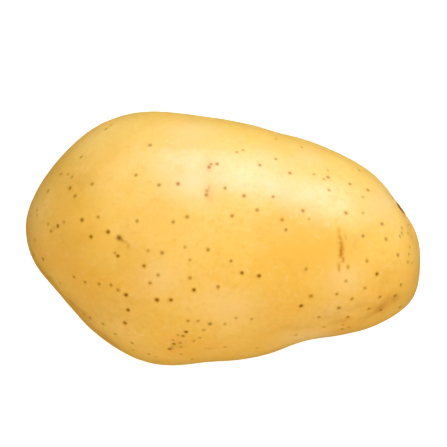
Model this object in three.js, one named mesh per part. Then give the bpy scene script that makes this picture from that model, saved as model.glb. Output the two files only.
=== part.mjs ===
// A smooth-skinned yellow potato, lying on its flattest side. It grew as one piece, so it is one solid.
//
// Millimetres, +Z up. X runs along the tuber to its narrow stem end, Y runs across it, and the origin
// is on the surface that it lies on, under the middle of the tuber.

import * as THREE from "three";
import { mergeVertices } from "three/addons/utils/BufferGeometryUtils.js";

// The whole tuber.
const LENGTH = 112;
const WIDTH = 71;
const CROWN = 31.5; // from the rim, the widest line round the tuber, up to the top
const BELLY = 29; // from the rim down to the underside
const REST_SPOT_DEPTH = 0.6; // how much of the underside is flattened where it lies

// Seen from above, how far the rim stands from the middle at each step round it, anticlockwise from the
// stem end. It is blunt at the bud end, full on one shoulder, and cut away beside the stem end.
const RIM_STEP = 10;
const RIM = [
  54.9, 53.6, 49.6, 46.8, 43, 39.5, 37.1, 35, 34.7, 34.8, 35.8, 37.6, 40.9, 44.7, 48, 50.2, 52.3, 54.5, 55.8,
  53.9, 49.1, 45.9, 43.8, 41.8, 40, 37.7, 34.8, 32.8, 32.5, 32.5, 33.1, 33.7, 36.2, 42.1, 49, 54.7,
];

// How the body departs from an egg.
const FULLNESS = 0.07; // share by which its flanks swell past an ellipse
const TAPER = 0.09; // share by which it thins towards the stem end
const BOW = 2.2; // how far both ends rise above the middle of the rim
const TWIST = 1.6; // how far the rim's far shoulder rises, and its near one drops

// Broad swellings and hollows. Each lies `around` degrees anticlockwise from the stem end and `up` degrees
// above the rim, stands `out` by that many millimetres, and fades over `spread` degrees.
const SWELLINGS = [
  { around: 150, up: 48, out: 1.3, spread: 30 },
  { around: 62, up: 40, out: -0.9, spread: 20 },
  { around: 5, up: 42, out: 0.9, spread: 22 },
  { around: 300, up: 38, out: -1.3, spread: 19 },
  { around: 235, up: 44, out: 0.8, spread: 22 },
  { around: 110, up: -40, out: -1.2, spread: 26 },
  { around: 20, up: -38, out: 1.1, spread: 24 },
  { around: 205, up: -36, out: -1.0, spread: 22 },
  { around: 290, up: -45, out: 1.0, spread: 24 },
];

// The eyes, by their place seen from above, on the upper side or the underside. They climb round the tuber
// in a spiral and crowd towards the bud end. Each is a shallow hollow, `wide` across the tuber, with a
// small bud in it and a low brow on its stem side.
const EYES = [
  { x: 31.2, y: 2.4, upper: true, wide: 11, deep: 0.7 },
  { x: -28, y: -0.8, upper: true, wide: 9, deep: 0.9 },
  { x: -6.4, y: 13.4, upper: true, wide: 9, deep: 0.6 },
  { x: -10.3, y: -27.7, upper: true, wide: 9, deep: 0.8 },
  { x: -46.4, y: -0.1, upper: true, wide: 7, deep: 0.8 },
  { x: 38, y: -17, upper: false, wide: 10, deep: 0.9 },
  { x: 21, y: 20, upper: false, wide: 11, deep: 1.0 },
  { x: -16, y: -21, upper: false, wide: 10, deep: 0.9 },
  { x: -36, y: 17, upper: false, wide: 9, deep: 0.9 },
  { x: -46, y: -13, upper: false, wide: 7, deep: 0.8 },
];
const EYE_LENGTH = 0.5; // an eye's size along the tuber, as a share of `wide`
const BUD_RADIUS = 1.1;
const BUD_HEIGHT = 0.55;
const BROW_HEIGHT = 0.4;
const BROW_THICKNESS = 0.9;
const BROW_CURVE = 0.055; // how sharply the brow bends round its bud, per millimetre

// The scar where the tuber's stolon broke off, on the rim beside the stem end.
const STEM_SCAR = { x: 49, y: 16.4, upper: true };
const SCAR_RADIUS = 2.6;
const SCAR_DEPTH = 1.1;
const SCAR_LIP = 0.3;

// The mesh: its longest edges far from any eye, and its shortest ones in an eye.
const COARSE_SPLIT = 14;
const COARSE_EDGE = 3.6;
const FINE_EDGE = 1.1;
const EDGE_GROWTH = 0.32; // how fast the wanted edge grows with the distance from an eye's edge
const REFINING_PASSES = 3;

const SKIN_COLOUR = 0xe2b25c;
const SKIN_ROUGHNESS = 0.5;

// Distance from the middle to the rim, in a smooth curve through RIM.
function rimRadius(turn) {
  const steps = THREE.MathUtils.euclideanModulo(THREE.MathUtils.radToDeg(turn), 360) / RIM_STEP;
  const before = Math.floor(steps);
  const at = (offset) => RIM[(before + offset + RIM.length) % RIM.length];
  const f = steps - before;
  return (
    at(0) +
    0.5 * f * (at(1) - at(-1) + f * (2 * at(-1) - 5 * at(0) + 4 * at(1) - at(2) +
    f * (3 * (at(0) - at(1)) + at(2) - at(-1))))
  );
}

// The same distance on a plain oval of the tuber's length and width.
function ovalRadius(turn) {
  return 1 / Math.hypot(Math.cos(turn) / (LENGTH / 2), Math.sin(turn) / (WIDTH / 2));
}

// A direction on the unit ball from degrees round the rim and degrees above it.
function direction(around, up) {
  const polar = THREE.MathUtils.degToRad(90 - up);
  const azimuth = THREE.MathUtils.degToRad(around);
  return new THREE.Vector3(
    Math.sin(polar) * Math.cos(azimuth),
    Math.sin(polar) * Math.sin(azimuth),
    Math.cos(polar),
  );
}

// The body without eyes, for a point on the unit ball: an oval loaf that takes up the rim's own outline
// towards its widest line, so that the outline never pinches the crown.
function bodyPoint(ball) {
  const level = Math.hypot(ball.x, ball.y);
  const turn = Math.atan2(WIDTH * ball.y, LENGTH * ball.x);
  const oval = ovalRadius(turn);
  const reach = level * oval + level ** 3 * (rimRadius(turn) - oval);
  const half = (ball.z > 0 ? CROWN : BELLY) * (1 - TAPER * ball.x) * (1 + FULLNESS * level * level);
  const rise = BOW * ball.x * ball.x + TWIST * ball.y * level;
  const point = new THREE.Vector3(reach * Math.cos(turn), reach * Math.sin(turn), rise + half * ball.z);
  let swell = 0;
  for (const { around, up, out, spread } of SWELLINGS) {
    const away = ball.angleTo(direction(around, up)) / THREE.MathUtils.degToRad(spread);
    swell += out * Math.exp(-away * away);
  }
  return point.addScaledVector(outward(ball), swell);
}

// The outward normal of the plain loaf at a point on the unit ball.
function outward(ball) {
  return new THREE.Vector3(ball.x / LENGTH, ball.y / WIDTH, ball.z / (CROWN + BELLY)).normalize();
}

// A mark's place on the body, with the directions along the tuber to the bud end and across it.
function siteOf({ x, y, upper }) {
  const ball = new THREE.Vector3((2 * x) / LENGTH, (2 * y) / WIDTH, 0);
  ball.z = (upper ? 1 : -1) * Math.sqrt(Math.max(0, 1 - ball.lengthSq()));
  ball.normalize();
  const normal = outward(ball);
  const across = new THREE.Vector3().crossVectors(normal, new THREE.Vector3(1, 0, 0)).normalize();
  const along = new THREE.Vector3().crossVectors(normal, across).normalize();
  return { middle: bodyPoint(ball), along, across };
}

const bump = (distance, width) => Math.exp(-((distance / width) ** 2));

const eyes = EYES.map((eye) => ({ ...eye, ...siteOf(eye), reach: eye.wide * 0.6 }));
const scar = { ...siteOf(STEM_SCAR), reach: SCAR_RADIUS * 1.6 };

// How far an eye lifts or sinks the skin at a point. `along` is positive towards the bud end.
function eyeRelief(eye, point) {
  const away = point.clone().sub(eye.middle);
  if (away.length() > 2 * eye.wide) return 0;
  const along = away.dot(eye.along);
  const across = away.dot(eye.across);
  const halfLong = (eye.wide * EYE_LENGTH) / 2;
  const halfWide = eye.wide / 2;
  const hollow = -eye.deep * bump(along, halfLong) * bump(across, halfWide);
  const bud = BUD_HEIGHT * bump(Math.hypot(along, across), BUD_RADIUS);
  const browLine = along + 0.8 * halfLong - BROW_CURVE * across * across;
  const brow = BROW_HEIGHT * bump(browLine, BROW_THICKNESS) * bump(across, 0.8 * halfWide);
  return hollow + bud + brow;
}

// The stem scar: a small round pit with a raised lip.
function scarRelief(point) {
  const away = point.distanceTo(scar.middle);
  return SCAR_LIP * bump(away - SCAR_RADIUS, 0.8) - SCAR_DEPTH * bump(away, 0.75 * SCAR_RADIUS);
}

// The skin, for a point on the unit ball.
function skinPoint(ball) {
  const point = bodyPoint(ball);
  let relief = scarRelief(point);
  for (const eye of eyes) relief += eyeRelief(eye, point);
  return point.addScaledVector(outward(ball), relief);
}

// The edge length wanted at a place: short in an eye or the scar, and longer away from them.
function wantedEdge(point) {
  const clear = [...eyes, scar].map((mark) => point.distanceTo(mark.middle) - mark.reach);
  return Math.min(COARSE_EDGE, FINE_EDGE + EDGE_GROWTH * Math.max(0, Math.min(...clear)));
}

// Splits the edges of a mesh of the unit ball that are too long on the body. An edge is split for both of
// its triangles, so the mesh stays closed.
function splitLongEdges(points, triangles) {
  const body = points.map(bodyPoint);
  const middles = new Map();
  const middleOf = (a, b) => {
    const key = `${Math.min(a, b)} ${Math.max(a, b)}`;
    if (!middles.has(key)) {
      const halfway = body[a].clone().add(body[b]).multiplyScalar(0.5);
      const isLong = body[a].distanceTo(body[b]) > 1.4 * wantedEdge(halfway);
      if (isLong) points.push(points[a].clone().add(points[b]).normalize());
      middles.set(key, isLong ? points.length - 1 : null);
    }
    return middles.get(key);
  };
  return triangles.flatMap((corners) => {
    const found = [0, 1, 2].map((i) => middleOf(corners[i], corners[(i + 1) % 3]));
    const count = found.filter((middle) => middle !== null).length;
    // The triangle is turned so that its first edge is split, and with two split edges its last is whole.
    const turns = [0, 1, 2].find((i) =>
      count === 2 ? found[(i + 2) % 3] === null : count !== 1 || found[i] !== null,
    );
    const [a, b, c] = [0, 1, 2].map((i) => corners[(i + turns) % 3]);
    const [ab, bc, ca] = [0, 1, 2].map((i) => found[(i + turns) % 3]);
    if (count === 0) return [[a, b, c]];
    if (count === 1) return [[a, ab, c], [ab, b, c]];
    if (count === 2) return [[a, ab, c], [ab, b, bc], [ab, bc, c]];
    return [[a, ab, ca], [ab, b, bc], [ca, bc, c], [ab, bc, ca]];
  });
}

// An even mesh of the unit ball, made finer where the skin has detail.
function ballMesh() {
  const ball = new THREE.IcosahedronGeometry(1, COARSE_SPLIT);
  ball.deleteAttribute("normal");
  ball.deleteAttribute("uv");
  const merged = mergeVertices(ball, 1e-5);
  const position = merged.getAttribute("position");
  const points = Array.from({ length: position.count }, (_, i) =>
    new THREE.Vector3().fromBufferAttribute(position, i).normalize(),
  );
  const index = merged.index.array;
  let triangles = Array.from({ length: index.length / 3 }, (_, i) => [...index.slice(3 * i, 3 * i + 3)]);
  for (let pass = 0; pass < REFINING_PASSES; pass++) triangles = splitLongEdges(points, triangles);
  return { points, triangles };
}

// The tuber's skin as one closed surface, flattened where it lies and stood on the origin.
function tuberGeometry() {
  const { points, triangles } = ballMesh();
  const skin = points.map(skinPoint);
  const lowest = Math.min(...skin.map((point) => point.z));
  for (const point of skin) point.z = Math.max(0, point.z - lowest - REST_SPOT_DEPTH);
  const geometry = new THREE.BufferGeometry().setFromPoints(skin);
  geometry.setIndex(triangles.flat());
  geometry.computeBoundingBox();
  const middle = geometry.boundingBox.getCenter(new THREE.Vector3());
  geometry.translate(-middle.x, -middle.y, 0);
  geometry.computeVertexNormals();
  return geometry;
}

function skinMaterial() {
  return new THREE.MeshStandardMaterial({ color: SKIN_COLOUR, roughness: SKIN_ROUGHNESS, metalness: 0 });
}

const tuber = new THREE.Mesh(tuberGeometry(), skinMaterial());
tuber.name = "tuber";

const potato = new THREE.Group();
potato.add(tuber);

export default potato;
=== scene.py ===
# %% [markdown]
# # Dressing a potato
#
# A potato is one swollen piece of stem. It grows in one piece, so the CAD part is one closed solid,
# the tuber, at its real size and lying on its flattest spot. The solid has the right outline, eyes and
# stem scar, but no skin: no corky specks, no colour, no sheen.
#
# This lesson keeps the solid's size and place and lays a finer skin over it. The steps are: aim the
# camera, wrap a sphere round the solid, find where the marks are, refine the skin round them, press
# and paint them, mix the skin's material, and light it with a soft box in a white surround on a pale
# floor.

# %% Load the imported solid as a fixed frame
import math
import random

import bpy
import numpy as np
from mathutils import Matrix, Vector
from mathutils.bvhtree import BVHTree


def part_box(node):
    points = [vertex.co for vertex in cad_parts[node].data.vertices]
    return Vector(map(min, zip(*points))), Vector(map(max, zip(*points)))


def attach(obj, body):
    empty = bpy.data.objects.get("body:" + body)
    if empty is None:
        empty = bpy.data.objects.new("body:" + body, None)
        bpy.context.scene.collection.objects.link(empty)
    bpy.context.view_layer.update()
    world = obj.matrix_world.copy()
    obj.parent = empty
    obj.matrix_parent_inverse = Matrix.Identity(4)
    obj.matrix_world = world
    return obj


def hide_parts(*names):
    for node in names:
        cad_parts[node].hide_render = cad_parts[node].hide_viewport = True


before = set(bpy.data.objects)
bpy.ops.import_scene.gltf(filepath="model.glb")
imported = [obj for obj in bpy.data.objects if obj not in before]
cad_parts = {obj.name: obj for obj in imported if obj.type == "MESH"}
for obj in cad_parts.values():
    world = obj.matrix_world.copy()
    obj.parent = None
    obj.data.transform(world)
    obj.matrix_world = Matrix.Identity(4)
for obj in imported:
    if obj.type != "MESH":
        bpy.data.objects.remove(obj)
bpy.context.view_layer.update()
MM = 0.001
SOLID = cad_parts["tuber"]
LOWEST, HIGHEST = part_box("tuber")
print("The tuber is", [round(side / MM, 1) for side in HIGHEST - LOWEST], "mm")

# %% [markdown]
# ## The camera
#
# The photograph looks straight down on the potato, which lies a little askew: its long axis runs down
# to the right. A long lens from well above keeps the outline free of perspective. The frame is square,
# and one pixel spans a known distance at the height where the potato is widest, so a mark that is seen
# in the photograph can be found on the skin by looking through its pixel.

# %% Aim the camera
PHOTO_SIDE = 447  # pixels
PIXEL = 0.28 * MM  # what a pixel spans where the potato is widest
LEAN = math.radians(6.2)  # the part's turn against the photograph
OUTLINE_MIDDLE_PX = (217.96, 239.39)
OUTLINE_MIDDLE = Vector((-1.61, 1.47)) * MM
WIDEST_HEIGHT = 28.4 * MM
LENS = 200
SENSOR = 36
CLIP_END = 20


def lean(right, up):
    """A step right and up in the photograph, as a step along x and y in the part's frame."""
    x = right * math.cos(LEAN) - up * math.sin(LEAN)
    y = right * math.sin(LEAN) + up * math.cos(LEAN)
    return x, y


def through_pixel(px, py):
    """The point that a pixel of the photograph shows, at the height where the potato is widest."""
    right = (px - OUTLINE_MIDDLE_PX[0]) * PIXEL
    up = (OUTLINE_MIDDLE_PX[1] - py) * PIXEL
    x, y = lean(right, up)
    return Vector((x + OUTLINE_MIDDLE.x, y + OUTLINE_MIDDLE.y, WIDEST_HEIGHT))


camera_height = LENS / SENSOR * PHOTO_SIDE * PIXEL
camera_spot = through_pixel(PHOTO_SIDE / 2, PHOTO_SIDE / 2) + Vector((0, 0, camera_height))
bpy.ops.object.camera_add(location=camera_spot, rotation=(0, 0, LEAN))
camera = bpy.context.object
camera.name = "photo_camera"
camera.data.lens = LENS
camera.data.sensor_width = SENSOR
camera.data.clip_end = CLIP_END
bpy.context.scene.camera = camera
print("The camera is", round(camera_height, 3), "m above the potato's widest line")

# %% [markdown]
# ## The form of the skin
#
# The skin could be a copy of the solid, but the solid has few and uneven faces. Instead a sphere is
# stretched to the solid's box and shrink-wrapped onto it, as a sculptor starts. A voxel remesh then
# gives faces of one size all over, and smoothing takes away the last trace of the flat facets.

# %% Wrap a stretched sphere onto the solid
SPHERE_ROUNDS = 6
FACE_SIDE = 0.92 * MM
SMOOTHING_SHARE = 0.5
SMOOTHING_ROUNDS = 24


def only(thing):
    """Selects one object and nothing else, so that the next operator acts on it alone."""
    bpy.ops.object.select_all(action="DESELECT")
    thing.select_set(True)
    bpy.context.view_layer.objects.active = thing


def apply_modifier(thing, kind, **settings):
    """Adds a modifier with these settings and applies it at once."""
    only(thing)
    modifier = thing.modifiers.new(kind.title(), kind)
    for name, value in settings.items():
        setattr(modifier, name, value)
    bpy.ops.object.modifier_apply(modifier=modifier.name)


middle = (LOWEST + HIGHEST) / 2
half_box = (HIGHEST - LOWEST) / 2
bpy.ops.mesh.primitive_ico_sphere_add(subdivisions=SPHERE_ROUNDS, radius=1, location=middle)
skin = bpy.context.object
skin.name = "skin"
bpy.ops.object.mode_set(mode="EDIT")
bpy.ops.mesh.select_all(action="SELECT")
bpy.ops.transform.resize(value=half_box)
bpy.ops.object.mode_set(mode="OBJECT")
only(skin)
bpy.ops.object.transform_apply(location=True, rotation=True, scale=True)
apply_modifier(skin, "SHRINKWRAP", target=SOLID, wrap_method="NEAREST_SURFACEPOINT")
apply_modifier(skin, "REMESH", mode="VOXEL", voxel_size=FACE_SIDE)
apply_modifier(skin, "SMOOTH", factor=SMOOTHING_SHARE, iterations=SMOOTHING_ROUNDS)
print("The wrapped skin has", len(skin.data.polygons), "faces")

# %% [markdown]
# A real potato is never as even as a formula. Two Displace modifiers with cloud noise give it broad
# lumps, a few tenths of a millimetre high, and a finer unevenness that catches the light.

# %% Add the lumps that growing in soil leaves
LUMPS = (
    # name, width of a lump, height from hollow to top
    ("broad_lumps", 16 * MM, 0.4 * MM),
    ("small_lumps", 4.5 * MM, 0.12 * MM),
)
UNMOVED_VALUE = 0.5  # the noise's value where the skin stays in place

for name, size, strength in LUMPS:
    clouds = bpy.data.textures.new(name, "CLOUDS")
    clouds.noise_scale = size
    clouds.noise_depth = 1
    apply_modifier(
        skin, "DISPLACE", texture=clouds, texture_coords="LOCAL", strength=strength, mid_level=UNMOVED_VALUE
    )
    print(name, "are up to", round(strength / 2 / MM, 2), "mm high")

# %% [markdown]
# ## Where the marks are
#
# The skin of a potato breathes through lenticels: corky brown specks about a millimetre across. They
# are what makes this potato this one, so the specks on the side that the photograph shows are put
# where it shows them, each by its pixel. They are listed by how dark they are.

# %% List the specks that the photograph shows
DARK_SPECKS = [
    (58, 226), (82, 220), (108, 232), (91, 237), (118, 256), (144, 266), (43, 259), (70, 188),
    (126, 295), (128, 310), (125, 323), (157, 300), (171, 300), (186, 332), (174, 344), (170, 349),
    (90, 318), (242, 273), (259, 276), (377, 274), (395, 296), (301, 306), (381, 310), (194, 290),
]
MEDIUM_SPECKS = [
    (106, 129), (150, 145), (81, 157), (136, 175), (61, 174), (92, 184), (48, 191), (75, 196),
    (159, 185), (178, 184), (217, 164), (225, 188), (232, 216), (187, 217), (173, 222), (137, 221),
    (98, 217), (51, 231), (302, 147), (260, 165), (276, 159), (290, 173), (328, 177), (350, 184),
    (368, 190), (244, 196), (273, 197), (257, 210), (282, 220), (286, 230), (303, 211), (346, 213),
    (363, 236), (386, 239), (382, 224), (162, 253), (208, 250), (231, 261), (158, 275), (150, 283),
    (190, 278), (218, 287), (74, 277), (85, 282), (99, 284), (111, 285), (118, 290), (210, 324),
    (183, 336), (115, 334), (103, 324), (132, 343), (192, 359), (306, 269), (367, 261), (398, 255),
    (311, 296), (401, 285), (365, 288), (369, 309), (319, 317), (342, 329), (400, 307), (34, 255),
    (209, 167), (206, 195), (337, 294), (352, 299), (380, 297), (339, 308), (348, 317), (188, 321),
]
FAINT_SPECKS = [
    (111, 125), (68, 174), (72, 177), (37, 210), (37, 215), (48, 224), (64, 222), (237, 152),
    (243, 150), (276, 139), (314, 174), (324, 179), (328, 170), (329, 190), (363, 197), (359, 170),
    (363, 213), (309, 219), (402, 233), (408, 233), (148, 251), (185, 247), (190, 260), (115, 253),
    (49, 277), (60, 283), (74, 305), (84, 314), (198, 321), (225, 324), (236, 318), (252, 319),
    (178, 335), (173, 340), (180, 343), (181, 347), (181, 354), (194, 341), (200, 338), (204, 330),
    (225, 347), (133, 350), (149, 354), (156, 357), (346, 281), (348, 267), (343, 325), (349, 327),
    (324, 327), (296, 335), (257, 348), (409, 254), (412, 263), (404, 216), (409, 224), (35, 240),
    (402, 228), (400, 236), (410, 247), (408, 262), (211, 164), (207, 191),
]
SPECK_KINDS = (
    # pixels, radius, tone: how dark the cork is, from 0 to 1
    (DARK_SPECKS, 0.58 * MM, 0.94),
    (MEDIUM_SPECKS, 0.56 * MM, 0.60),
    (FAINT_SPECKS, 0.52 * MM, 0.40),
)
print([len(pixels) for pixels, _radius, _tone in SPECK_KINDS], "specks: dark, medium and faint")

# %% [markdown]
# A ray from the camera through a speck's pixel finds its place on the skin. No two specks are quite
# alike, so a seeded draw makes each a little larger or smaller, and darker or fainter, than its kind.

# %% Find each speck on the skin
SEED = 7
SEEN_SIZES = (0.88, 1.12)
SEEN_TONES = (0.9, 1.08)

surface = BVHTree.FromObject(skin, bpy.context.evaluated_depsgraph_get())
draw = random.Random(SEED)


def seen_at(px, py):
    """The place on the skin that a pixel shows, or the nearest one where the ray just misses the rim."""
    target = through_pixel(px, py)
    place, normal, _face, _distance = surface.ray_cast(camera_spot, (target - camera_spot).normalized())
    if place is None:
        place, normal, _face, _distance = surface.find_nearest(target)
    return place, normal


specks = []
for pixels, radius, tone in SPECK_KINDS:
    for px, py in pixels:
        place, _normal = seen_at(px, py)
        size = radius * draw.uniform(*SEEN_SIZES)
        specks.append((place, size, tone * draw.uniform(*SEEN_TONES)))
print(len(specks), "specks are placed by their pixels")

# %% [markdown]
# The other half of the skin faces down and away, and nothing shows what is on it. A potato is specked
# all over, so the rest follow a rule: a seeded draw of directions, each kept only if it lands out of
# the camera's sight and not too near another speck. The three kinds occur in a similar mix.

# %% Scatter specks over the hidden side
HIDDEN_DRAWS = 2600
HIDDEN_SLOPE = -0.02  # the upward part of the skin's normal, at most
LEAST_GAP = 2.4 * MM
MOST_GAP = 7.0 * MM
GAP_POWER = 0.7  # below 1, wide gaps are more common than narrow ones
KIND_WEIGHTS = (2, 4, 3)
HIDDEN_SIZES = (0.85, 1.15)
HIDDEN_TONES = (0.85, 1.1)

hidden = 0
for _ in range(HIDDEN_DRAWS):
    way = Vector((draw.gauss(0, 1), draw.gauss(0, 1), draw.gauss(0, 1))).normalized()
    gap = LEAST_GAP + (MOST_GAP - LEAST_GAP) * draw.random() ** GAP_POWER
    _pixels, radius, tone = draw.choices(SPECK_KINDS, weights=KIND_WEIGHTS)[0]
    size = radius * draw.uniform(*HIDDEN_SIZES)
    tone *= draw.uniform(*HIDDEN_TONES)
    place, normal, _face, _distance = surface.find_nearest(middle + way * half_box)
    if normal.z > HIDDEN_SLOPE:
        continue
    if min((place - other[0]).length for other in specks) < gap:
        continue
    specks.append((place, size, tone))
    hidden += 1
print(hidden, "more specks are scattered where the camera can't see")

# %% [markdown]
# ## Eyes
#
# An eye is a bud with the scar of a tiny leaf over it, its brow, on the side of the stem end. On this
# young, washed potato the eyes are shallow. The solid has their hollows. The skin adds what is small:
# the nub of the bud, the brow's fine ridge, and the brown of both.

# %% List the eyes
SEEN_EYES = [
    # pixel, width of the brow in mm, how plain the brow is, how dark the bud is
    ((119, 238), 5.0, 0.2, 1.0),
    ((54, 228), 5.0, 0.1, 0.2),
    ((172, 347), 5.0, 0.1, 0.3),
]
HIDDEN_EYES = [
    # x and y in mm on the underside, width of the brow in mm, how plain, how dark the bud
    (36.4, -16.2, 9.0, 0.8, 0.8),
    (21.1, 19.8, 10.0, 0.9, 0.9),
    (-15.9, -21.3, 9.0, 0.8, 0.7),
    (-36.2, 17.1, 8.0, 0.7, 0.8),
    (-43.7, -12.2, 7.0, 0.8, 0.9),
]
RAY_START = 0.2  # how far below the potato a ray to the underside starts


def under(x, y):
    """The place on the underside at x, y in millimetres."""
    start = Vector((x * MM, y * MM, -RAY_START))
    place, normal, _face, _distance = surface.ray_cast(start, Vector((0, 0, 1)))
    return place, normal


def eye_axes(normal):
    """Across the eye and towards the stem end, both in the skin's plane there."""
    to_stem = Vector((1, 0, 0))
    to_stem = (to_stem - normal * to_stem.dot(normal)).normalized()
    return normal.cross(to_stem), to_stem


eyes = []
for (px, py), width, plain, dark in SEEN_EYES:
    eyes.append((*seen_at(px, py), width * MM, plain, dark))
for x, y, width, plain, dark in HIDDEN_EYES:
    eyes.append((*under(x, y), width * MM, plain, dark))
print(len(eyes), "eyes are on the skin")

# %% [markdown]
# ## Strokes, smudges and painted light
#
# Besides specks the photograph shows a few longer marks: the brow of the eye near the stem end, which
# is a broken brown streak, small scratches, and scuffed tan patches low on the stem end. Each stroke
# is a short line of pixels with a width and a strength. Each smudge is a soft oval in one of three
# paints. Tan is mostly scuffs, with painted shade on the left end and the right rim; a few tan ovals
# and strokes also darken the lower left rim. Warm is painted shade, a deeper orange, on the left end,
# the top left, the right end and the middle of the highlight, besides the orange band round the
# streak and a few warmer places. Pale is painted highlight along the lit upper band and painted light
# low on the near edge, besides a few paler places.

# %% List the strokes, the smudges and the painted light
STROKES = [
    # pixels along it, width in mm, strength
    ([(339, 229), (339, 233)], 1.0, 0.5),
    ([(339, 236), (341, 239)], 1.2, 0.6),
    ([(345, 236), (346, 239)], 0.9, 0.35),
    ([(341, 243), (342, 249), (341, 256)], 1.5, 0.75),
    ([(341, 250), (341, 255)], 1.1, 1.0),
    ([(343, 258), (343, 261)], 1.0, 0.7),
    ([(339, 263), (339, 270)], 1.0, 0.6),
    ([(348, 265), (348, 269)], 0.8, 0.3),
    ([(119, 237), (122, 240)], 1.0, 1.0),
    ([(123, 242), (126, 242)], 0.8, 0.4),
    ([(128, 244), (128, 248)], 0.8, 0.25),
    ([(206, 191), (206, 196)], 1.1, 0.3),
    ([(209, 187), (209, 189)], 0.7, 0.25),
    ([(211, 164), (208, 169)], 1.0, 0.35),
    ([(205, 348), (212, 349)], 0.5, 0.5),
    ([(218, 285), (218, 290)], 0.5, 0.45),
    ([(379, 309), (387, 303), (395, 297)], 2.2, 0.35),
    # The next three strokes darken the lower left rim.
    ([(31, 262), (38, 272)], 0.9, 0.75),
    ([(43, 276), (52, 287)], 0.8, 0.6),
    ([(71, 305), (80, 314)], 0.8, 0.55),
    ([(386, 192), (394, 200)], 0.5, 0.5),
]
SMUDGES_AND_PAINTED_LIGHT = [
    # pixel, half width and half height in mm, lean in degrees, strength, paint
    ((393, 299), 2.6, 1.0, 32, 1.0, "tan"),
    ((379, 309), 3.4, 1.0, 30, 1.0, "tan"),
    ((384, 304), 6.5, 2.0, 30, 0.85, "tan"),
    ((365, 318), 5.0, 1.2, 25, 0.6, "tan"),
    ((342, 321), 4.5, 0.9, 8, 0.9, "tan"),
    ((346, 329), 5.0, 0.8, 10, 0.4, "tan"),
    # The next three tan ovals darken the lower left rim.
    ((46, 275), 5.0, 1.1, -55, 1.0, "tan"),
    ((76, 307), 7.0, 0.9, -43, 0.9, "tan"),
    ((107, 338), 6.0, 0.9, -40, 0.7, "tan"),
    ((410, 232), 6.0, 0.8, -68, 0.6, "tan"),
    ((352, 308), 5.0, 1.4, 20, 0.45, "tan"),
    ((330, 316), 5.5, 2.2, 12, 0.45, "tan"),
    ((300, 326), 8.0, 1.2, 8, 0.3, "tan"),
    ((355, 245), 0.9, 2.2, 0, 0.5, "tan"),
    ((127, 246), 1.8, 1.0, -40, 0.5, "tan"),
    ((177, 344), 3.0, 1.6, 25, 0.5, "tan"),
    # The next four tan ovals darken the left end and the lower left: partly painted shade.
    ((75, 235), 7.0, 6.0, 0, 0.2, "tan"),
    ((76, 185), 6.0, 8.0, -30, 0.45, "tan"),
    ((112, 312), 8.0, 6.0, 0, 0.28, "tan"),
    ((118, 256), 7.0, 5.0, 0, 0.2, "tan"),
    # The next oval is painted shade on the right rim.
    ((416, 280), 1.6, 8.0, -5, 0.35, "tan"),
    ((388, 285), 4.0, 6.0, 0, 0.3, "tan"),
    ((209, 193), 1.0, 1.8, 0, 0.5, "tan"),
    ((209, 167), 0.9, 1.6, 0, 0.4, "tan"),
    # Warm ovals: the first is the orange band round the streak; those on the left end, the top left, the
    # right end and the middle of the highlight are painted shade; the others deepen the colour in a few
    # places on the crown.
    ((341, 249), 2.4, 5.5, 0, 0.9, "warm_and_shade"),
    ((310, 252), 9.0, 4.0, -5, 0.8, "warm_and_shade"),
    ((395, 180), 8.0, 2.5, -45, 0.6, "warm_and_shade"),
    ((110, 245), 6.0, 3.0, -20, 0.6, "warm_and_shade"),
    ((70, 205), 6.0, 7.0, 0, 0.8, "warm_and_shade"),
    ((287, 195), 8.0, 3.0, -15, 0.5, "warm_and_shade"),
    ((412, 280), 4.0, 9.0, -5, 1.0, "warm_and_shade"),
    ((410, 245), 3.0, 7.0, 0, 0.8, "warm_and_shade"),
    ((154, 218), 8.0, 6.0, 0, 0.5, "warm_and_shade"),
    ((112, 150), 9.0, 5.0, 40, 0.6, "warm_and_shade"),
    # Pale ovals: those along the lit upper band are painted highlight, the one low on the near edge is
    # painted light from below, and the others lighten the colour in a few places.
    ((344, 280), 5.0, 4.5, 0, 0.65, "pale_and_highlight"),
    ((306, 336), 7.0, 1.8, 8, 0.7, "pale_and_highlight"),
    ((158, 278), 6.0, 5.0, 0, 0.6, "pale_and_highlight"),
    ((192, 188), 6.0, 4.0, 0, 0.9, "pale_and_highlight"),
    ((192, 132), 7.0, 3.0, -5, 0.6, "pale_and_highlight"),
    ((308, 158), 5.0, 3.0, -15, 0.5, "pale_and_highlight"),
    ((268, 158), 6.0, 3.0, -10, 0.5, "pale_and_highlight"),
    ((380, 203), 6.0, 5.0, 0, 0.6, "pale_and_highlight"),
    ((335, 310), 6.0, 2.5, 10, 0.4, "pale_and_highlight"),
    ((230, 308), 8.0, 3.5, 0, 0.6, "pale_and_highlight"),
]
print(len(STROKES), "strokes and", len(SMUDGES_AND_PAINTED_LIGHT), "smudges are listed")

# %% [markdown]
# A stroke's pixels are looked through as a speck's are. Each eye gets one stroke more, for its brow: a
# shallow arc that stands over the bud on the stem side and follows the skin.

# %% Trace the strokes on the skin
BROW_RUNS = 4  # straight runs on each side of the arc's middle
BROW_RISE = 0.26  # the arc's height as a share of its width
BROW_STROKE = 0.75 * MM
BROW_BROWN = 0.62

strokes = []
for pixels, width, strength in STROKES:
    line = [seen_at(px, py)[0] for px, py in pixels]
    strokes.append((line, width * MM, strength))

for place, normal, width, plain, _dark in eyes:
    across, to_stem = eye_axes(normal)
    brow = []
    for run in range(-BROW_RUNS, BROW_RUNS + 1):
        along = run / BROW_RUNS
        rise = BROW_RISE * width * (1 - along * along)
        guess = place + across * (along * width / 2) + to_stem * rise
        brow.append(surface.find_nearest(guess)[0])
    strokes.append((brow, BROW_STROKE, BROW_BROWN * plain))
print(len(strokes), "strokes are on the skin, brows among them")

# %% [markdown]
# ## The stem scar
#
# Where the tuber was torn from its stem it has a small round scar. The photograph shows only its dark
# edge, on the outline at the narrow end. The solid has the pit, and the skin gets its brown cork.

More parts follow.
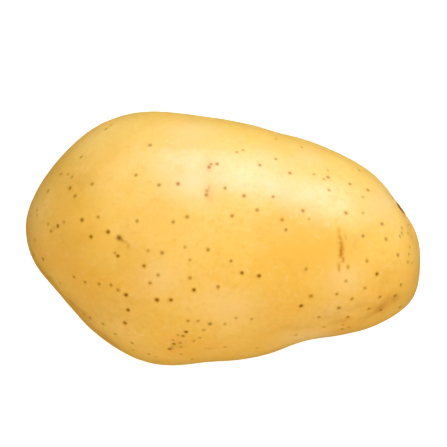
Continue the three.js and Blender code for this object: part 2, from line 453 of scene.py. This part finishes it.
# %% Find the stem scar
STEM_SCAR = Vector((47.8, 15.5, 35.2)) * MM
SCAR_RADIUS = 2.1 * MM
scar_place = surface.find_nearest(STEM_SCAR)[0]
print("The stem scar is at", [round(value / MM, 1) for value in scar_place], "mm")

# %% [markdown]
# ## Finer faces where the marks are
#
# A speck is a millimetre across, and the skin's faces are nearly as large. Dividing every face would
# make the mesh too heavy, so only the faces round a mark are selected and subdivided, and then those
# that are nearest to it once more. Each speck so gets dozens of small faces of its own.

# %% Subdivide round the marks
ROUNDS = (
    # reach round a speck in its radii, share of the reach round other marks
    (2.6, 1.0),
    (1.55, 0.6),
)
SPECK_MARGIN = 0.1 * MM
EYE_REACH = 5.0 * MM
STROKE_REACH = 1.2 * MM
SCAR_REACH = 4.5 * MM
BLENDING_ROUNDS = 3


def rows_of(items, key):
    """One vector of each of the mesh's items, such as its points, as an array with a row for each."""
    values = np.empty(len(items) * 3, np.float32)
    items.foreach_get(key, values)
    return values.reshape(-1, 3).astype(float)


def distance_to(points, place):
    """How far each point is from a place."""
    return np.linalg.norm(points - np.array(place), axis=1)


def distance_to_line(points, line):
    """How far each point is from a line of short straight runs."""
    nearest = np.full(len(points), np.inf)
    for start, end in zip(line, line[1:]):
        start = np.array(start)
        run = np.array(end) - start
        share = np.clip((points - start) @ run / (run @ run), 0, 1)
        nearest = np.minimum(nearest, np.linalg.norm(points - start - share[:, None] * run, axis=1))
    return nearest


def near_marks(points, speck_reach, other_reach):
    """Which points are near a speck, an eye's bud, a stroke or the scar."""
    near = np.zeros(len(points), bool)
    for place, radius, _tone in specks:
        near |= distance_to(points, place) < radius * speck_reach + SPECK_MARGIN
    for place, *_rest in eyes:
        near |= distance_to(points, place) < EYE_REACH * other_reach
    for line, _width, _strength in strokes:
        near |= distance_to_line(points, line) < STROKE_REACH * other_reach
    near |= distance_to(points, scar_place) < SCAR_REACH * other_reach
    return near


def subdivide_faces(mask):
    """Divides the chosen faces of the skin in edit mode."""
    mesh = skin.data
    mesh.vertices.foreach_set("select", np.zeros(len(mesh.vertices), bool))
    mesh.edges.foreach_set("select", np.zeros(len(mesh.edges), bool))
    mesh.polygons.foreach_set("select", mask)
    only(skin)
    bpy.ops.object.mode_set(mode="EDIT")
    bpy.ops.mesh.subdivide(number_cuts=1, ngon=False)
    bpy.ops.object.mode_set(mode="OBJECT")


bpy.context.tool_settings.mesh_select_mode = (False, False, True)
only(skin)
bpy.ops.object.mode_set(mode="EDIT")
bpy.ops.mesh.select_all(action="SELECT")
bpy.ops.mesh.quads_convert_to_tris()
bpy.ops.object.mode_set(mode="OBJECT")
for speck_reach, other_reach in ROUNDS:
    centres = rows_of(skin.data.polygons, "center")
    subdivide_faces(near_marks(centres, speck_reach, other_reach))
    print("With a reach of", speck_reach, "radii the skin has", len(skin.data.polygons), "faces")
apply_modifier(skin, "SMOOTH", factor=SMOOTHING_SHARE, iterations=BLENDING_ROUNDS)

# %% [markdown]
# ## Pressing and painting the marks
#
# Each point of the mesh now moves along its normal by what the marks nearby add up to: a speck is a
# tiny dish with a raised edge, and a stroke a shallow groove. The same distances are kept on the mesh
# as attributes, which the material reads, so colour and relief can't slide apart.

# %% Work out specks and strokes for every point
FAR = 3.0  # the greatest distance from a speck that is kept, in its radii
DISH_DEPTH = 0.11 * MM
DISH_WIDTH = 0.75  # in radii
EDGE_HEIGHT = 0.015 * MM
EDGE_PLACE = 1.35  # in radii
EDGE_WIDTH = 0.4  # in radii
GROOVE_DEPTH = 0.10 * MM


def bell(distance, width):
    """1 at no distance, falling smoothly to nothing a few widths away."""
    return np.exp(-((distance / width) ** 2))


mesh = skin.data
points = rows_of(mesh.vertices, "co")
normals = rows_of(mesh.vertex_normals, "vector")
relief = np.zeros(len(points))
speck_distance = np.full(len(points), FAR)
speck_tone = np.zeros(len(points))
brown = np.zeros(len(points))

for place, radius, tone in specks:
    distance = distance_to(points, place) / radius
    closer = distance < speck_distance
    speck_distance[closer] = distance[closer]
    speck_tone[closer] = tone
relief -= DISH_DEPTH * speck_tone * bell(speck_distance, DISH_WIDTH)
relief += EDGE_HEIGHT * speck_tone * bell(speck_distance - EDGE_PLACE, EDGE_WIDTH)

for line, width, strength in strokes:
    distance = distance_to_line(points, line)
    brown = np.maximum(brown, strength * bell(distance, width / 2))
    relief -= GROOVE_DEPTH * strength * bell(distance, width / 2)
print("Specks and strokes reach", int((speck_distance < 1).sum() + (brown > 0.1).sum()), "points")

# %% [markdown]
# The buds and brows of the eyes and the scar follow in the same way. A bud is a nub with a dark tip,
# and the brow's ridge stands on the stem side of it. The scar is a pit with a lip, and its cork ends
# in a sharper edge than a bell has.

# %% Add the eyes and the scar
BUD_HEIGHT = 0.45 * MM
BUD_RADIUS = 0.95 * MM
BUD_TIP = 0.65 * MM
LEAST_BUD = 0.3  # the share of its height that the bud of a faint eye keeps
RIDGE_HEIGHT = 0.22 * MM
RIDGE_PLACE = 0.5 * MM  # beyond the brow's stroke
RIDGE_WIDTH = 0.7 * MM
RIDGE_SHARE = 2.4  # the brow's width over the ridge's reach to each side
BROW_END = 1.2  # how far the arc is followed, in half widths
SCAR_DEPTH = 0.5 * MM
SCAR_PIT = 0.6  # in scar radii
LIP_HEIGHT = 0.25 * MM
LIP_WIDTH = 0.6 * MM
CORK_EDGE = 0.12 * MM
CORK_STEPS = 50  # edges, beyond which the cork has surely begun or ended
SCAR_BROWN = 0.9

bud_mask = np.zeros(len(points))
for place, normal, width, plain, dark in eyes:
    across, to_stem = eye_axes(normal)
    offset = points - np.array(place)
    u = offset @ np.array(across)
    v = offset @ np.array(to_stem)
    distance = distance_to(points, place)
    arc = BROW_RISE * width * (1 - np.clip(2 * u / width, -BROW_END, BROW_END) ** 2)
    ridge = bell(v - arc - RIDGE_PLACE, RIDGE_WIDTH) * bell(u, width / RIDGE_SHARE)
    relief += np.where(distance < width, RIDGE_HEIGHT * plain * ridge, 0)
    relief += BUD_HEIGHT * (LEAST_BUD + (1 - LEAST_BUD) * plain) * bell(distance, BUD_RADIUS)
    bud_mask = np.maximum(bud_mask, dark * bell(distance, BUD_TIP))

scar_distance = distance_to(points, scar_place)
relief -= SCAR_DEPTH * bell(scar_distance, SCAR_PIT * SCAR_RADIUS)
relief += LIP_HEIGHT * bell(scar_distance - SCAR_RADIUS, LIP_WIDTH)
outside_scar = np.clip((scar_distance - SCAR_RADIUS) / CORK_EDGE, -CORK_STEPS, CORK_STEPS)
bud_mask = np.maximum(bud_mask, SCAR_BROWN / (1 + np.exp(outside_scar)))
print("The relief runs from", round(relief.min() / MM, 2), "to", round(relief.max() / MM, 2), "mm")

# %% [markdown]
# Smudges have colour but no relief, and some of them are painted shade and painted highlight. They are
# painted only where the skin faces up, because the photograph shows no more. The flanks and the
# underside get painted shade: a warmer, deeper colour than the crown, which grows the less the skin faces
# up.

# %% Paint the smudges and the painted shade of the flanks
# The flanks' painted shade starts where the normal's upward part falls to FLANK_TOP and is full at
# FLANK_FOOT.
FLANK_TOP = 0.60  # the upward part of the normal where the warmth starts
FLANK_FOOT = 0.10  # and where it is full
FLANK_SHADE = 0.9

paints = {name: np.zeros(len(points)) for name in ("tan", "warm_and_shade", "pale_and_highlight")}
facing_up = normals[:, 2] > 0
for (px, py), half_width, half_height, degrees, strength, paint in SMUDGES_AND_PAINTED_LIGHT:
    turn = math.radians(degrees)
    long_way = np.array((*lean(math.cos(turn), math.sin(turn)), 0))
    short_way = np.array((*lean(-math.sin(turn), math.cos(turn)), 0))
    offset = points - np.array(seen_at(px, py)[0])
    u = offset @ long_way / (half_width * MM)
    v = offset @ short_way / (half_height * MM)
    mark = strength * np.exp(-(u * u + v * v)) * facing_up
    paints[paint] = np.maximum(paints[paint], mark)
# Painted shade: the flanks and the underside are painted warmer and deeper the less they face up.
flank_shade = np.clip((FLANK_TOP - normals[:, 2]) / (FLANK_TOP - FLANK_FOOT), 0, 1)
paints["warm_and_shade"] = np.maximum(paints["warm_and_shade"], FLANK_SHADE * flank_shade)
print("Warm paint covers", round(100 * float((paints["warm_and_shade"] > 0.5).mean())), "% of the points")

# %% [markdown]
# Now the points are moved, none of them below the surface that the potato lies on, and the paints are
# written onto the mesh.

# %% Move the points and keep the paints as attributes
points += normals * relief[:, None]
points[:, 2] = np.maximum(points[:, 2], 0)
mesh.vertices.foreach_set("co", points.ravel())
mesh.update()
for name, values in (
    ("speck_distance", speck_distance),
    ("speck_tone", speck_tone),
    ("brown", brown),
    *paints.items(),
    ("bud", bud_mask),
):
    attribute = mesh.attributes.new(name, "FLOAT", "POINT")
    attribute.data.foreach_set("value", values.astype(np.float32))
only(skin)
bpy.ops.object.shade_smooth()
print("The finished skin has", len(mesh.polygons), "faces and", len(mesh.attributes), "attributes")

# %% [markdown]
# ## The material of the skin
#
# The colour is layered: a golden ground, broad warmer and paler patches, fine mottling and flecks,
# then warm and pale smudges that are partly painted shade and painted highlight, the painted shade of
# the flanks, tan smudges, brown strokes and specks from the attributes. A material is a sheet of
# nodes, so first come helpers that add a node and give its sockets their values or links.

# %% Helpers for building materials
def fill(sheet, socket, value):
    """Gives a socket a constant, or a link where the value is the output of another node."""
    if isinstance(value, bpy.types.NodeSocket):
        sheet.links.new(value, socket)
    else:
        socket.default_value = value


def add_node(sheet, kind, place, **inputs):
    """Adds a node at a place on the sheet and fills in the named inputs."""
    node = sheet.nodes.new(kind)
    node.location = place
    for name, value in inputs.items():
        fill(sheet, node.inputs[name.replace("_", " ")], value)
    return node


def mix_colour(sheet, place, factor, under, over):
    """Lays one colour over another by a factor, and returns the output."""
    node = add_node(sheet, "ShaderNodeMix", place)
    node.data_type = "RGBA"
    sockets = {socket.identifier: socket for socket in node.inputs}
    fill(sheet, sockets["Factor_Float"], factor)
    fill(sheet, sockets["A_Color"], under)
    fill(sheet, sockets["B_Color"], over)
    return next(socket for socket in node.outputs if socket.identifier == "Result_Color")


def map_range(sheet, place, value, low, high, new_low=0.0, new_high=1.0):
    """Turns a range of a value into another, smoothly, and returns the output."""
    node = add_node(sheet, "ShaderNodeMapRange", place, Value=value, From_Min=low, From_Max=high)
    node.interpolation_type = "SMOOTHSTEP"
    fill(sheet, node.inputs["To Min"], new_low)
    fill(sheet, node.inputs["To Max"], new_high)
    return node.outputs["Result"]


def maths(sheet, place, operation, first, second):
    """One sum with two values, either of which may be an output."""
    node = add_node(sheet, "ShaderNodeMath", place)
    node.operation = operation
    fill(sheet, node.inputs[0], first)
    fill(sheet, node.inputs[1], second)
    return node.outputs["Value"]


def set_values(shader, values):
    """Sets constants directly on a shader's sockets."""
    for name, value in values.items():
        shader.inputs[name].default_value = value


print("The helpers are ready")

# %% [markdown]
# Everything that varies over the skin comes from five noises of different fineness, which all read the
# object's own coordinates, and from the attributes on the mesh.

# %% Start the material with its noises
NOISES = {
    # lumps per metre, detail, roughness
    "patches": (45, 2, 0.5),
    "mottle": (260, 4, 0.6),
    "flecks": (650, 3, 0.55),
    "grain": (1900, 3, 0.6),
    "wobble": (900, 2, 0.5),
}
NOISE_ROW = 200  # the height that a noise takes up on the sheet

material = bpy.data.materials.new("potato_skin")
material.use_nodes = True
sheet = material.node_tree
shader = sheet.nodes["Principled BSDF"]
coordinates = add_node(sheet, "ShaderNodeTexCoord", (-1800, 0)).outputs["Object"]


def kept(name, place):
    """A value that is kept on the mesh as an attribute."""
    node = add_node(sheet, "ShaderNodeAttribute", place)
    node.attribute_name = name
    return node.outputs["Fac"]


noises = {}
for row, (name, (scale, detail, roughness)) in enumerate(NOISES.items()):
    node = add_node(sheet, "ShaderNodeTexNoise", (-1500, 500 - row * NOISE_ROW), Vector=coordinates)
    set_values(node, {"Scale": scale, "Detail": detail, "Roughness": roughness})
    noises[name] = node.outputs["Fac"]
print(len(noises), "noises:", ", ".join(noises))

# %% [markdown]
# The ground is a golden yellow. Broad patches make it warmer or paler, mottling warms it in spots of a
# few millimetres, and flecks of rust and of cream are finer still. The warm and pale smudges go over
# these: the warm paint is mostly painted shade on the flanks, the underside, the rims and the left
# end, and the pale paint mostly painted highlight along the lit upper band. Each share below gives
# the noise's values at which a paint starts and is full, and then, if they aren't 0 and 1, its least
# and its greatest share.

# %% Lay the golden ground
GROUND = (0.85, 0.485, 0.085, 1)
PALE = (0.88, 0.52, 0.118, 1)
WARM = (0.83, 0.43, 0.054, 1)
FLECK = (0.75, 0.39, 0.045, 1)
CREAM = (0.87, 0.545, 0.18, 1)
WARM_PATCHES = (0.45, 0.68)
PALE_PATCHES = (0.5, 0.3)
WARM_MOTTLES = (0.50, 0.72, 0, 0.6)
RUST_FLECKS = (0.52, 0.70, 0, 0.40)
CREAM_FLECKS = (0.46, 0.30, 0, 0.40)

share = map_range(sheet, (-1250, 500), noises["patches"], *WARM_PATCHES)
colour = mix_colour(sheet, (-1000, 500), share, GROUND, WARM)
share = map_range(sheet, (-1250, 350), noises["patches"], *PALE_PATCHES)
colour = mix_colour(sheet, (-800, 500), share, colour, PALE)
share = map_range(sheet, (-1000, 250), noises["mottle"], *WARM_MOTTLES)
colour = mix_colour(sheet, (-600, 500), share, colour, WARM)
share = map_range(sheet, (-1000, 350), noises["flecks"], *RUST_FLECKS)
colour = mix_colour(sheet, (-560, 350), share, colour, FLECK)
share = map_range(sheet, (-1000, 450), noises["flecks"], *CREAM_FLECKS)
colour = mix_colour(sheet, (-520, 450), share, colour, CREAM)
# This warm paint is mostly painted shade: it deepens the colour on the flanks, the underside, the rims, the
# left end and the middle of the highlight.
colour = mix_colour(sheet, (-500, 650), kept("warm_and_shade", (-750, 650)), colour, WARM)
# This pale paint is mostly painted highlight: it lays cream along the lit upper band, and painted light low
# on the near edge.
colour = mix_colour(sheet, (-450, 800), kept("pale_and_highlight", (-750, 800)), colour, CREAM)
print("The ground has", len(sheet.nodes), "nodes so far")

# %% [markdown]
# Tan and brown go over the ground. The tan is mostly scuffs, with painted shade on the left end and
# the right rim. Noise breaks both up, as a scuff or a scratch takes only part of the skin with it.

# %% Lay the scuffs, the scratches and some painted shade
TAN = (0.62, 0.275, 0.022, 1)
RUSTY = (0.53, 0.185, 0.002, 1)
TAN_BREAKS = (0.35, 0.65, 0.35, 1.0)
BROWN_BREAKS = (0.32, 0.55, 0.45, 1.0)

breaks = map_range(sheet, (-1000, 50), noises["mottle"], *TAN_BREAKS)
share = maths(sheet, (-800, 50), "MULTIPLY", kept("tan", (-1250, 50)), breaks)
colour = mix_colour(sheet, (-400, 500), share, colour, TAN)
breaks = map_range(sheet, (-1000, -120), noises["wobble"], *BROWN_BREAKS)
share = maths(sheet, (-800, -120), "MULTIPLY", kept("brown", (-1250, -120)), breaks)
colour = mix_colour(sheet, (-200, 500), share, colour, RUSTY)
print("With scuffs and scratches there are", len(sheet.nodes), "nodes")

# %% [markdown]
# A speck is a core of brown cork in a softer amber halo. Both follow the distance from its middle, in
# its own radii, and a fine noise is added to that distance, so that no edge is a circle. Buds and the
# scar are the darkest.

# %% Lay the specks, the buds and the scar
AMBER = (0.66, 0.32, 0.006, 1)
BROWN = (0.31, 0.092, 0.0, 1)
DARK_BROWN = (0.24, 0.075, 0.001, 1)
RAGGEDNESS = 0.7
HALO = (2.4, 1.0, 0, 0.7)
CORE = (1.5, 0.75)

tone = kept("speck_tone", (-1250, -500))
ragged = maths(sheet, (-1000, -300), "MULTIPLY", noises["wobble"], RAGGEDNESS)
ragged = maths(sheet, (-850, -300), "ADD", ragged, kept("speck_distance", (-1250, -300)))
halo = map_range(sheet, (-600, -300), ragged, *HALO)
halo = maths(sheet, (-450, -300), "MULTIPLY", halo, tone)
cork = map_range(sheet, (-600, -450), ragged, *CORE)
core = maths(sheet, (-450, -450), "MULTIPLY", cork, tone)
colour = mix_colour(sheet, (0, 500), halo, colour, AMBER)
colour = mix_colour(sheet, (200, 500), core, colour, BROWN)
colour = mix_colour(sheet, (400, 500), kept("bud", (200, 300)), colour, DARK_BROWN)
fill(sheet, shader.inputs["Base Color"], colour)
print("With the specks there are", len(sheet.nodes), "nodes")

# %% [markdown]
# Washed skin has a satin sheen that differs a little from spot to spot. Cork is duller than skin, so a
# speck is rougher than what is round it, and the darkest ones, which are worn smooth, hardly so. Under
# the sheen lies a grain too fine for the mesh, which goes into a bump of a tenth of a millimetre.

# %% Set the sheen and the grain
SATIN = (0.3, 0.7, 0.36, 0.45)
CORK_DULLNESS = (0.5, 1.0, 0.26, 0.04)
MOTTLE_RELIEF = 0.8
GRAIN_STRENGTH = 0.2
GRAIN_HEIGHT = 0.1 * MM

rough = map_range(sheet, (0, 100), noises["mottle"], *SATIN)
dull = map_range(sheet, (-200, -50), tone, *CORK_DULLNESS)
dull = maths(sheet, (0, -50), "MULTIPLY", cork, dull)
fill(sheet, shader.inputs["Roughness"], maths(sheet, (200, 100), "ADD", rough, dull))
height = maths(sheet, (-200, -300), "MULTIPLY", noises["mottle"], MOTTLE_RELIEF)
height = maths(sheet, (0, -300), "ADD", noises["grain"], height)
bump = add_node(sheet, "ShaderNodeBump", (200, -300), Height=height)
set_values(bump, {"Strength": GRAIN_STRENGTH, "Distance": GRAIN_HEIGHT})
fill(sheet, shader.inputs["Normal"], bump.outputs["Normal"])
print("With sheen and grain there are", len(sheet.nodes), "nodes")

# %% [markdown]
# Thin yellow skin over pale flesh lets light in and back out, red light deepest, so a little
# subsurface scattering goes under the sheen.

# %% Let light into the skin
SKIN_VALUES = {
    "Subsurface Weight": 0.3,
    "Subsurface Radius": (1.0, 0.45, 0.12),
    "Subsurface Scale": 3 * MM,
    "IOR": 1.5,
    "Specular IOR Level": 0.7,
}
set_values(shader, SKIN_VALUES)
skin.data.materials.clear()
skin.data.materials.append(material)
print("Light goes", SKIN_VALUES["Subsurface Scale"] / MM, "mm into the skin")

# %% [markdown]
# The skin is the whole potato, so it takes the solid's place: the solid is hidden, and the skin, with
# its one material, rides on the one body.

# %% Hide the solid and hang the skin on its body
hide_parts("tuber")
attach(skin, "root")
print("The skin replaces the tuber and rides on the root body")

# %% [markdown]
# ## Floor and light
#
# The photograph shows the potato on pure white, without a shadow. The floor is matt, pale and a little
# warm, as light that comes back up from under a potato is, and a glow that only the camera sees lifts
# it to the white of the photograph.

# %% Lay the floor
FLOOR_SIDE = 6
PAPER_LIFT = 0.65
WHITE = (1, 1, 1, 1)
PAPER_VALUES = {
    "Base Color": (0.62, 0.60, 0.50, 1),
    "Roughness": 0.9,
    "Specular IOR Level": 0.1,
    "Emission Color": WHITE,
}

bpy.ops.mesh.primitive_plane_add(size=FLOOR_SIDE, location=(0, 0, 0))
floor = bpy.context.object
floor.name = "floor"
paper = bpy.data.materials.new("white_paper")
paper.use_nodes = True
paper_sheet = paper.node_tree
paper_shader = paper_sheet.nodes["Principled BSDF"]
set_values(paper_shader, PAPER_VALUES)
seen = add_node(paper_sheet, "ShaderNodeLightPath", (-500, -300)).outputs["Is Camera Ray"]
lift = maths(paper_sheet, (-300, -300), "MULTIPLY", seen, PAPER_LIFT)
fill(paper_sheet, paper_shader.inputs["Emission Strength"], lift)
floor.data.materials.append(paper)
floor.visible_glossy = False
print("The floor is", FLOOR_SIDE, "m across")

# %% [markdown]
# One large soft box beyond the potato's far side, a little to the right, lit the photograph, in a
# white surround. Here an area lamp is the soft box, and it alone leaves gloss. The surround is made of
# two far, very soft lamps, one from all over and one low on the near side, that leave none, so the
# skin keeps its full colour.

# %% Hang the soft box and the lamps of the surround
KEY_WAY = Vector((0.29, 0.80, 0.50)).normalized()
KEY_DISTANCE = 0.6
KEY_SIZE = (0.55, 0.36)
KEY_POWER = 4.8
KEY_COLOUR = (0.50, 0.67, 1.02)
SKY_DISTANCE = 2  # a far lamp's light is the same wherever it hangs
TENT_WAY = Vector((0, 0, 1))
TENT_SPREAD = 170
TENT_POWER = 2.22
CARD_WAY = Vector((0.14, -0.76, 0.60)).normalized()
CARD_SPREAD = 100
CARD_POWER = 1.42


def hang_lamp(name, kind, way, distance, power):
    """Hangs a lamp that looks at the potato from a direction of the photograph."""
    turned = Vector((*lean(way.x, way.y), way.z))
    place = Vector((0, 0, WIDEST_HEIGHT)) + turned * distance
    rotation = turned.to_track_quat("Z", "Y").to_euler()
    bpy.ops.object.light_add(type=kind, location=place, rotation=rotation)
    lamp = bpy.context.object
    lamp.name = name
    lamp.data.energy = power
    return lamp


def hang_sky(name, way, spread, power):
    """Hangs a far, very soft lamp, which lights but leaves no gloss."""
    lamp = hang_lamp(name, "SUN", way, SKY_DISTANCE, power)
    lamp.data.angle = math.radians(spread)
    lamp.data.cycles.use_multiple_importance_sampling = False
    lamp.visible_glossy = False


soft_box = hang_lamp("soft_box", "AREA", KEY_WAY, KEY_DISTANCE, KEY_POWER)
soft_box.data.shape = "RECTANGLE"
soft_box.data.size, soft_box.data.size_y = KEY_SIZE
soft_box.data.color = KEY_COLOUR
soft_box.visible_camera = False
hang_sky("white_tent", TENT_WAY, TENT_SPREAD, TENT_POWER)
hang_sky("near_card", CARD_WAY, CARD_SPREAD, CARD_POWER)
print("One soft box of", KEY_POWER, "W, in a white tent with a card on the near side")

# %% [markdown]
# A white world would leave a pale gloss all over and wash out the dark specks. So the world is white
# only to the camera, and the lamps do the lighting.

# %% Make the world white to the camera
world = bpy.data.worlds.new("white_surround")
bpy.context.scene.world = world
world.use_nodes = True
set_values(world.node_tree.nodes["Background"], {"Color": WHITE})
world.cycles_visibility.diffuse = False
world.cycles_visibility.glossy = False
bpy.context.scene.view_settings.view_transform = "Standard"
print("The world lights nothing and shows white")
